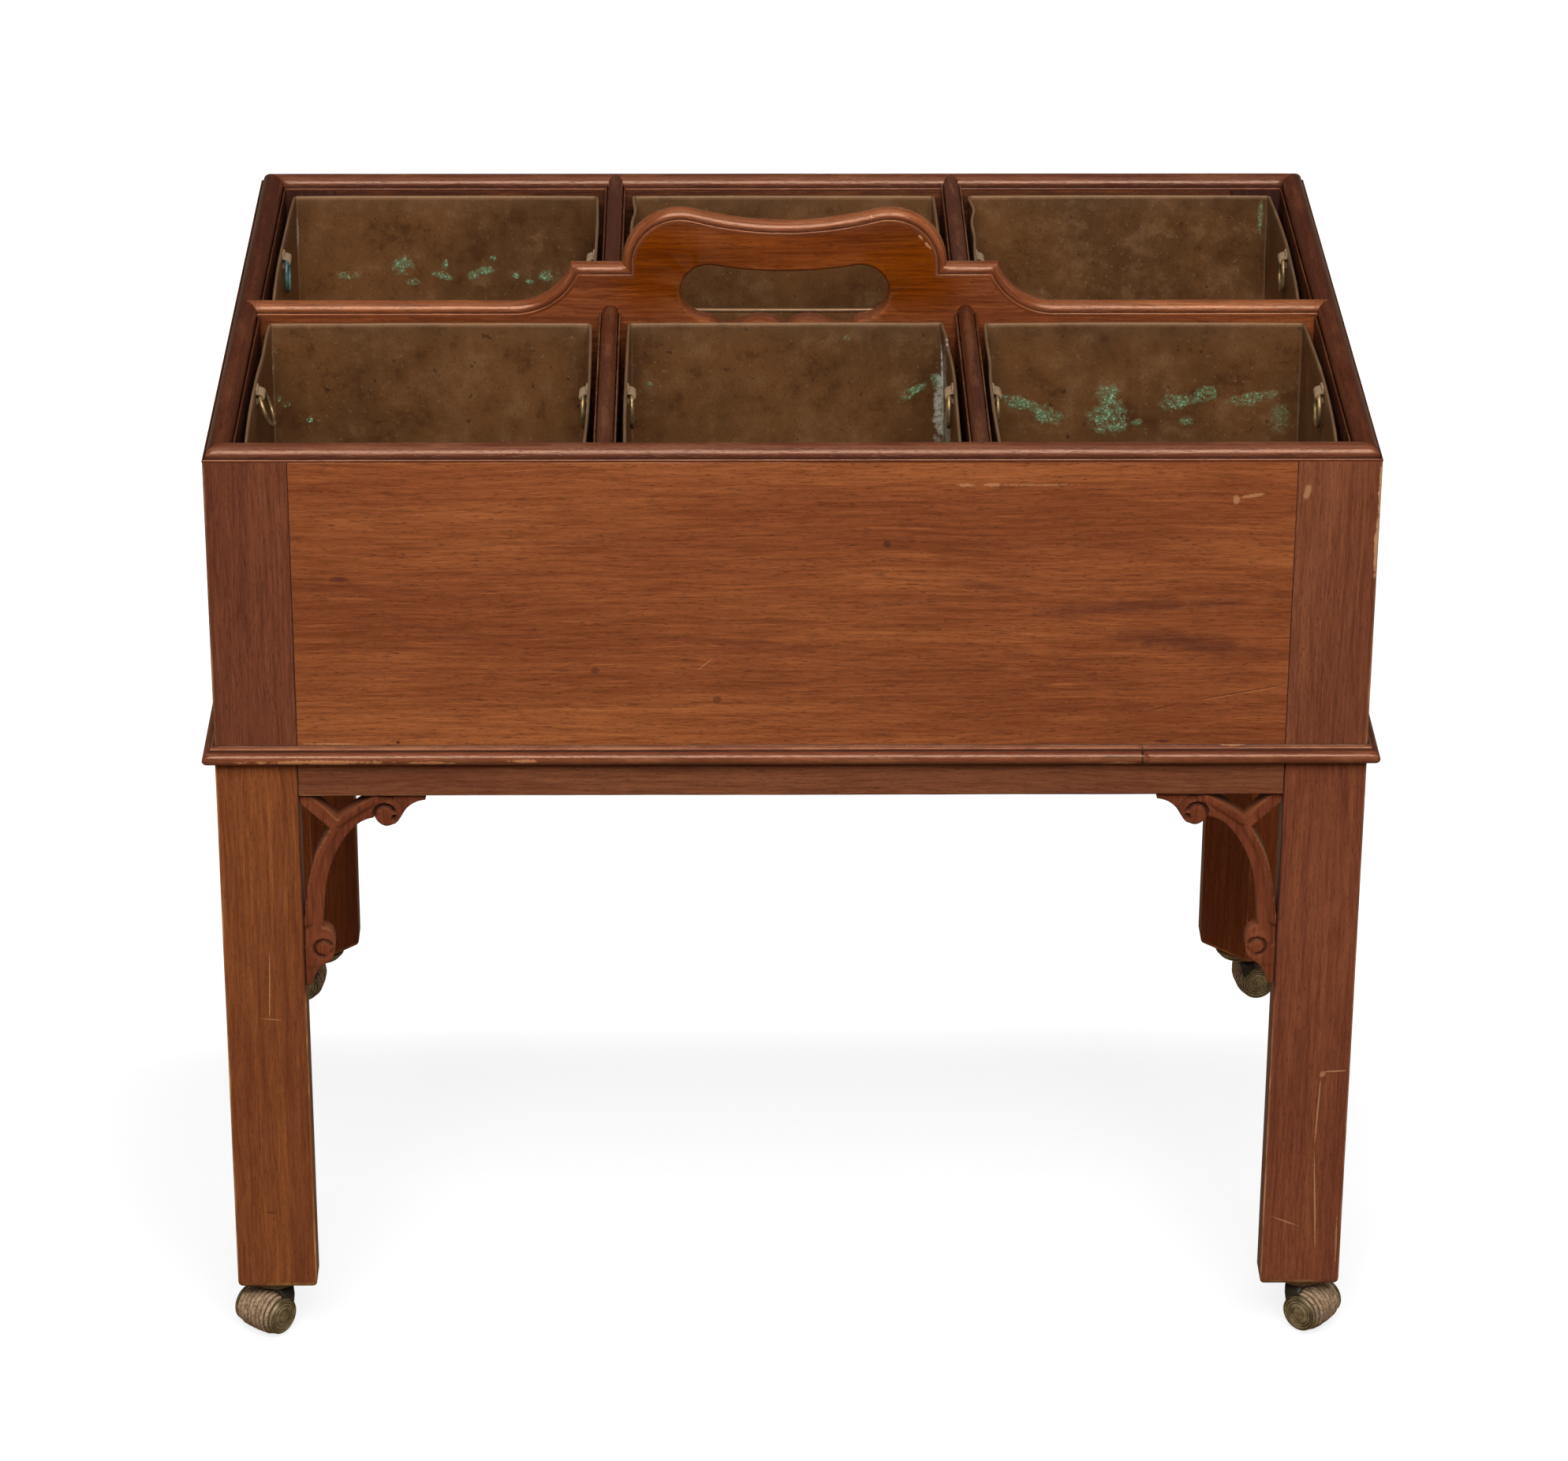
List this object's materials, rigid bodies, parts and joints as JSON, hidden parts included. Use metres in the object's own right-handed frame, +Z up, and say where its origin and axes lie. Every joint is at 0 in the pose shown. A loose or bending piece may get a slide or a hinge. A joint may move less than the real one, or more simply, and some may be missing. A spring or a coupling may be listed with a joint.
{
  "type": "cellarette",
  "caption": "Mahogany cellarette on castors: an open bottle carrier with metal-lined compartments and a pierced handle, on a low stand with fret brackets.",
  "frame": {"origin": "on the floor under the middle of the stand", "axes": "+Z up, +X to the right seen from the front, the front faces -Y"},
  "size_m": [0.653, 0.457, 0.6191],
  "materials": {
    "carcase_wood": "waxed mahogany, red-brown",
    "panel_wood": "waxed mahogany, lighter orange-brown with level grain",
    "handle_wood": "waxed mahogany, amber-brown",
    "inner_wood": "dull mahogany",
    "liner_sheet": "tarnished sheet copper alloy",
    "ring_wire": "tarnished brass wire",
    "castor_brass": "tarnished brass",
    "wheel_leather": "worn stacked leather"
  },
  "bodies": {
    "stand": {"front_left_leg": "carcase_wood", "front_right_leg": "carcase_wood", "back_left_leg": "carcase_wood", "back_right_leg": "carcase_wood", "front_rail": "carcase_wood", "back_rail": "carcase_wood", "left_rail": "carcase_wood", "right_rail": "carcase_wood", "front_lip": "carcase_wood", "back_lip": "carcase_wood", "left_lip": "carcase_wood", "right_lip": "carcase_wood", "front_left_brackets": "carcase_wood", "front_right_brackets": "carcase_wood", "back_left_brackets": "carcase_wood", "back_right_brackets": "carcase_wood", "castor_plates": "castor_brass", "castor_screws": "castor_brass"},
    "carrier": {"front_left_post": "carcase_wood", "front_right_post": "carcase_wood", "back_left_post": "carcase_wood", "back_right_post": "carcase_wood", "front_panel": "panel_wood", "back_panel": "panel_wood", "left_panel": "panel_wood", "right_panel": "panel_wood", "front_rim": "carcase_wood", "back_rim": "carcase_wood", "left_rim": "carcase_wood", "right_rim": "carcase_wood", "handle_divider": "handle_wood", "left_partition": "inner_wood", "right_partition": "inner_wood", "bottom_board": "inner_wood"},
    "front_left_liner": {"front_left_liner": "liner_sheet"},
    "front_left_left_ring": {"front_left_left_ring": "ring_wire"},
    "front_left_right_ring": {"front_left_right_ring": "ring_wire"},
    "front_middle_liner": {"front_middle_liner": "liner_sheet"},
    "front_middle_left_ring": {"front_middle_left_ring": "ring_wire"},
    "front_middle_right_ring": {"front_middle_right_ring": "ring_wire"},
    "front_right_liner": {"front_right_liner": "liner_sheet"},
    "front_right_left_ring": {"front_right_left_ring": "ring_wire"},
    "front_right_right_ring": {"front_right_right_ring": "ring_wire"},
    "back_left_liner": {"back_left_liner": "liner_sheet"},
    "back_left_left_ring": {"back_left_left_ring": "ring_wire"},
    "back_left_right_ring": {"back_left_right_ring": "ring_wire"},
    "back_middle_liner": {"back_middle_liner": "liner_sheet"},
    "back_middle_left_ring": {"back_middle_left_ring": "ring_wire"},
    "back_middle_right_ring": {"back_middle_right_ring": "ring_wire"},
    "back_right_liner": {"back_right_liner": "liner_sheet"},
    "back_right_left_ring": {"back_right_left_ring": "ring_wire"},
    "back_right_right_ring": {"back_right_right_ring": "ring_wire"},
    "front_left_castor": {"front_left_castor_horn": "castor_brass"},
    "front_left_wheel": {"front_left_castor_wheel": "wheel_leather"},
    "front_right_castor": {"front_right_castor_horn": "castor_brass"},
    "front_right_wheel": {"front_right_castor_wheel": "wheel_leather"},
    "back_left_castor": {"back_left_castor_horn": "castor_brass"},
    "back_left_wheel": {"back_left_castor_wheel": "wheel_leather"},
    "back_right_castor": {"back_right_castor_horn": "castor_brass"},
    "back_right_wheel": {"back_right_castor_wheel": "wheel_leather"}
  },
  "joints": [
    {"name": "carrier_lift", "type": "slide", "parent": "stand", "child": "carrier", "axis": [0, 0, 1], "range_m": [0, 0.3]},
    {"name": "front_left_liner_lift", "type": "slide", "parent": "carrier", "child": "front_left_liner", "axis": [0, 0, 1], "range_m": [0, 0.19]},
    {"name": "front_left_left_ring_swing", "type": "hinge", "parent": "front_left_liner", "child": "front_left_left_ring", "pos_m": [-0.29615, -0.10637, 0.547], "axis": [0, -1, 0], "range_deg": [-22.5, 152]},
    {"name": "front_left_right_ring_swing", "type": "hinge", "parent": "front_left_liner", "child": "front_left_right_ring", "pos_m": [-0.1161, -0.10637, 0.547], "axis": [0, 1, 0], "range_deg": [-2.5, 172]},
    {"name": "front_middle_liner_lift", "type": "slide", "parent": "carrier", "child": "front_middle_liner", "axis": [0, 0, 1], "range_m": [0, 0.19]},
    {"name": "front_middle_left_ring_swing", "type": "hinge", "parent": "front_middle_liner", "child": "front_middle_left_ring", "pos_m": [-0.0887, -0.10637, 0.547], "axis": [0, -1, 0], "range_deg": [-2.5, 172]},
    {"name": "front_middle_right_ring_swing", "type": "hinge", "parent": "front_middle_liner", "child": "front_middle_right_ring", "pos_m": [0.0887, -0.10637, 0.547], "axis": [0, 1, 0], "range_deg": [-2.5, 172]},
    {"name": "front_right_liner_lift", "type": "slide", "parent": "carrier", "child": "front_right_liner", "axis": [0, 0, 1], "range_m": [0, 0.19]},
    {"name": "front_right_left_ring_swing", "type": "hinge", "parent": "front_right_liner", "child": "front_right_left_ring", "pos_m": [0.1161, -0.10637, 0.547], "axis": [0, -1, 0], "range_deg": [-2.5, 172]},
    {"name": "front_right_right_ring_swing", "type": "hinge", "parent": "front_right_liner", "child": "front_right_right_ring", "pos_m": [0.29615, -0.10637, 0.547], "axis": [0, 1, 0], "range_deg": [-2.5, 172]},
    {"name": "back_left_liner_lift", "type": "slide", "parent": "carrier", "child": "back_left_liner", "axis": [0, 0, 1], "range_m": [0, 0.19]},
    {"name": "back_left_left_ring_swing", "type": "hinge", "parent": "back_left_liner", "child": "back_left_left_ring", "pos_m": [-0.29615, 0.10637, 0.547], "axis": [0, -1, 0], "range_deg": [-2.5, 172]},
    {"name": "back_left_right_ring_swing", "type": "hinge", "parent": "back_left_liner", "child": "back_left_right_ring", "pos_m": [-0.1161, 0.10637, 0.547], "axis": [0, 1, 0], "range_deg": [-2.5, 172]},
    {"name": "back_middle_liner_lift", "type": "slide", "parent": "carrier", "child": "back_middle_liner", "axis": [0, 0, 1], "range_m": [0, 0.19]},
    {"name": "back_middle_left_ring_swing", "type": "hinge", "parent": "back_middle_liner", "child": "back_middle_left_ring", "pos_m": [-0.0887, 0.10637, 0.547], "axis": [0, -1, 0], "range_deg": [-2.5, 172]},
    {"name": "back_middle_right_ring_swing", "type": "hinge", "parent": "back_middle_liner", "child": "back_middle_right_ring", "pos_m": [0.0887, 0.10637, 0.547], "axis": [0, 1, 0], "range_deg": [-2.5, 172]},
    {"name": "back_right_liner_lift", "type": "slide", "parent": "carrier", "child": "back_right_liner", "axis": [0, 0, 1], "range_m": [0, 0.19]},
    {"name": "back_right_left_ring_swing", "type": "hinge", "parent": "back_right_liner", "child": "back_right_left_ring", "pos_m": [0.1161, 0.10637, 0.547], "axis": [0, -1, 0], "range_deg": [-2.5, 172]},
    {"name": "back_right_right_ring_swing", "type": "hinge", "parent": "back_right_liner", "child": "back_right_right_ring", "pos_m": [0.29615, 0.10637, 0.547], "axis": [0, 1, 0], "range_deg": [-2.5, 172]},
    {"name": "front_left_castor_swivel", "type": "hinge", "parent": "stand", "child": "front_left_castor", "pos_m": [-0.2995, -0.2015, 0.031], "axis": [0, 0, 1], "continuous": true},
    {"name": "front_left_wheel_spin", "type": "hinge", "parent": "front_left_castor", "child": "front_left_wheel", "pos_m": [-0.30579, -0.20927, 0.013], "axis": [0.7771, -0.6293, 0], "continuous": true},
    {"name": "front_right_castor_swivel", "type": "hinge", "parent": "stand", "child": "front_right_castor", "pos_m": [0.2995, -0.2015, 0.031], "axis": [0, 0, 1], "continuous": true},
    {"name": "front_right_wheel_spin", "type": "hinge", "parent": "front_right_castor", "child": "front_right_wheel", "pos_m": [0.30716, -0.20793, 0.013], "axis": [0.6428, 0.766, 0], "continuous": true},
    {"name": "back_left_castor_swivel", "type": "hinge", "parent": "stand", "child": "back_left_castor", "pos_m": [-0.2995, 0.2015, 0.031], "axis": [0, 0, 1], "continuous": true},
    {"name": "back_left_wheel_spin", "type": "hinge", "parent": "back_left_castor", "child": "back_left_wheel", "pos_m": [-0.30945, 0.20255, 0.013], "axis": [-0.1045, -0.9945, 0], "continuous": true},
    {"name": "back_right_castor_swivel", "type": "hinge", "parent": "stand", "child": "back_right_castor", "pos_m": [0.2995, 0.2015, 0.031], "axis": [0, 0, 1], "continuous": true},
    {"name": "back_right_wheel_spin", "type": "hinge", "parent": "back_right_castor", "child": "back_right_wheel", "pos_m": [0.3094, 0.20289, 0.013], "axis": [-0.1392, 0.9903, 0], "continuous": true}
  ]
}
